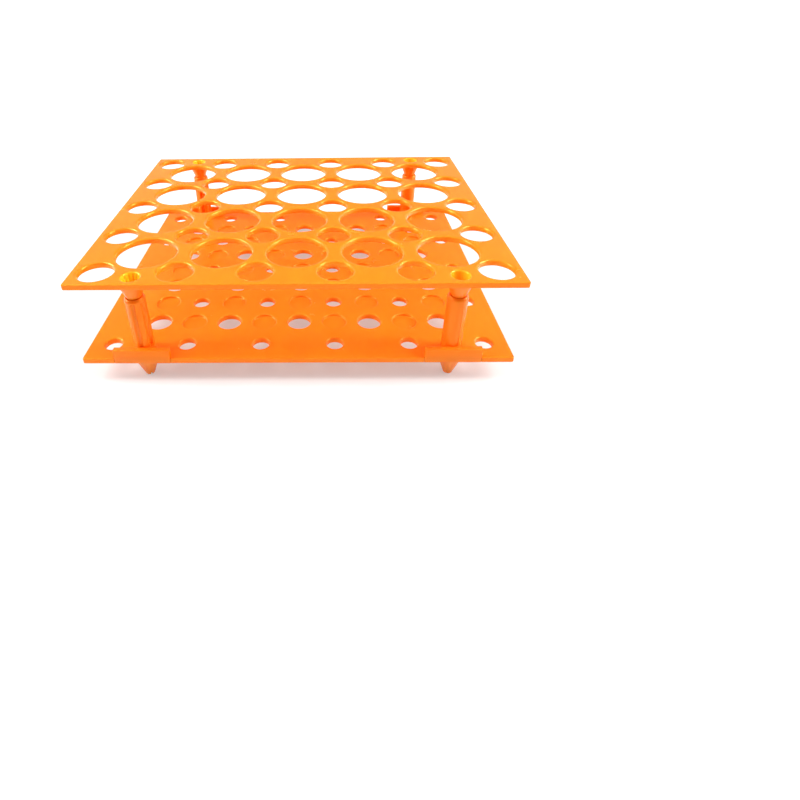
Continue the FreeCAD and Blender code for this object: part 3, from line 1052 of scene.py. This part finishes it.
def overhead_sky(name, level, overhead, low):
    """A white room lit from above and, less, by its walls.

    Its brightness is level + overhead * h^6 + low * (0.6 + 0.4 * y) * (1 - h + 0.6 * a)^4, with h
    the sine of elevation, y the direction's part from the front to the back and a the size of its
    part across. The last bracket is at most 1.

    Seen directly, the room is as pale as the floor.
    """
    world = bpy.data.worlds.new(name)
    world.use_nodes = True
    tree = world.node_tree
    tree.nodes.clear()
    way = add_node(tree, "ShaderNodeTexCoord").outputs["Generated"]
    apart = add_node(tree, "ShaderNodeSeparateXYZ", links={"Vector": way}).outputs
    across, along, height = apart["X"], apart["Y"], apart["Z"]

    above = reckon(tree, "MAXIMUM", height, 0.0)
    top = reckon(tree, "MULTIPLY_ADD", reckon(tree, "POWER", above, 6.0), overhead, level)
    aside = reckon(tree, "MULTIPLY_ADD", reckon(tree, "ABSOLUTE", across), 0.6, 1.0)
    near = reckon(tree, "MINIMUM", reckon(tree, "SUBTRACT", aside, above), 1.0)
    behind = reckon(tree, "MULTIPLY_ADD", along, 0.4, 0.6)
    walls = reckon(tree, "MULTIPLY", reckon(tree, "POWER", near, 4.0), behind)
    glow = reckon(tree, "MULTIPLY_ADD", walls, low, top)
    lit = add_node(tree, "ShaderNodeBackground", {}, {"Strength": glow})
    seen = add_node(tree, "ShaderNodeBackground", {"Strength": 1.0})
    for node in (lit, seen):
        node.inputs["Color"].default_value = (1.0, 1.0, 1.0, 1.0)
    eye = add_node(tree, "ShaderNodeLightPath").outputs["Is Camera Ray"]
    both = add_node(
        tree, "ShaderNodeMixShader", {}, {0: eye, 1: lit.outputs[0], 2: seen.outputs[0]}
    )
    add_node(tree, "ShaderNodeOutputWorld", links={"Surface": both.outputs[0]})
    return world


class RACK_OT_stage(Operator):
    """Build the pale floor, the soft studio lights and the camera"""

    bl_idname = "rack.stage"
    bl_label = "Stage"

    def execute(self, context):
        scene, colours = context.scene, context.scene.rack_colours
        sheet = bpy.data.meshes.new("floor")
        reach, below = 8.0, -0.02 * MM
        corners = [(-1, -1), (1, -1), (1, 1), (-1, 1)]
        spots = [(x * reach, y * reach, below) for x, y in corners]
        sheet.from_pydata(spots, [], [(0, 1, 2, 3)])
        sheet.materials.append(matt_paper("matt_paper_floor", tuple(colours.floor)))
        floor = bpy.data.objects.new("floor", sheet)
        scene.collection.objects.link(floor)

        scene.world = overhead_sky("overhead_sky", level=0.03, overhead=1.4, low=0.9)
        middle = (0.0, 0.0, 0.04)
        for side, name in zip(SIDES, ("left_softbox", "right_softbox")):
            centre = (side * 0.99, -0.05, 0.7)
            area_light(name, centre, middle, width=0.6, height=1.25, power=26.0)

        data = bpy.data.cameras.new("camera")
        data.sensor_width, data.lens = 36.0, 23.819
        data.shift_x, data.shift_y = 0.10625, -0.165
        data.clip_start, data.clip_end = 0.01, 20.0
        camera = bpy.data.objects.new("camera", data)
        scene.collection.objects.link(camera)
        azimuth, elevation, roll = (math.radians(a) for a in (0.9956, 30.2826, -0.85))
        turn = (
            Matrix.Rotation(azimuth, 4, "Z")
            @ Matrix.Rotation(math.pi / 2 - elevation, 4, "X")
            @ Matrix.Rotation(roll, 4, "Z")
        )
        aim, distance = (8.034 * MM, 0.197 * MM, 14.8 * MM), 337.46 * MM
        camera.matrix_world = Matrix.Translation(aim) @ turn @ Matrix.Translation((0, 0, distance))
        scene.camera = camera
        scene.view_settings.view_transform = "Standard"
        return {"FINISHED"}


class RACK_PT_panel(Panel):
    """Lists the rack's operators, sizes and colours"""

    bl_label = "Test Tube Rack"
    bl_idname = "RACK_PT_panel"
    bl_space_type = "VIEW_3D"
    bl_region_type = "UI"
    bl_category = "Tube Rack"

    def draw(self, context):
        column = self.layout.column()
        for operator in OPERATORS:
            column.operator(operator.bl_idname)
        for group in (context.scene.rack_sizes, context.scene.rack_colours):
            column.separator()
            for name in group.__annotations__:
                column.prop(group, name)


OPERATORS = (RACK_OT_tube_deck, RACK_OT_base_deck, RACK_OT_posts, RACK_OT_stage)
CLASSES = (RackSizes, RackColours, *OPERATORS, RACK_PT_panel)


def register():
    for item in CLASSES:
        bpy.utils.register_class(item)
    bpy.types.Scene.rack_sizes = PointerProperty(type=RackSizes)
    bpy.types.Scene.rack_colours = PointerProperty(type=RackColours)


def unregister():
    del bpy.types.Scene.rack_sizes, bpy.types.Scene.rack_colours
    for item in reversed(CLASSES):
        bpy.utils.unregister_class(item)


def main():
    register()
    bpy.ops.rack.tube_deck()
    bpy.ops.rack.base_deck()
    bpy.ops.rack.posts()
    bpy.ops.rack.stage()
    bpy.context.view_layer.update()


if __name__ == "__main__":
    main()
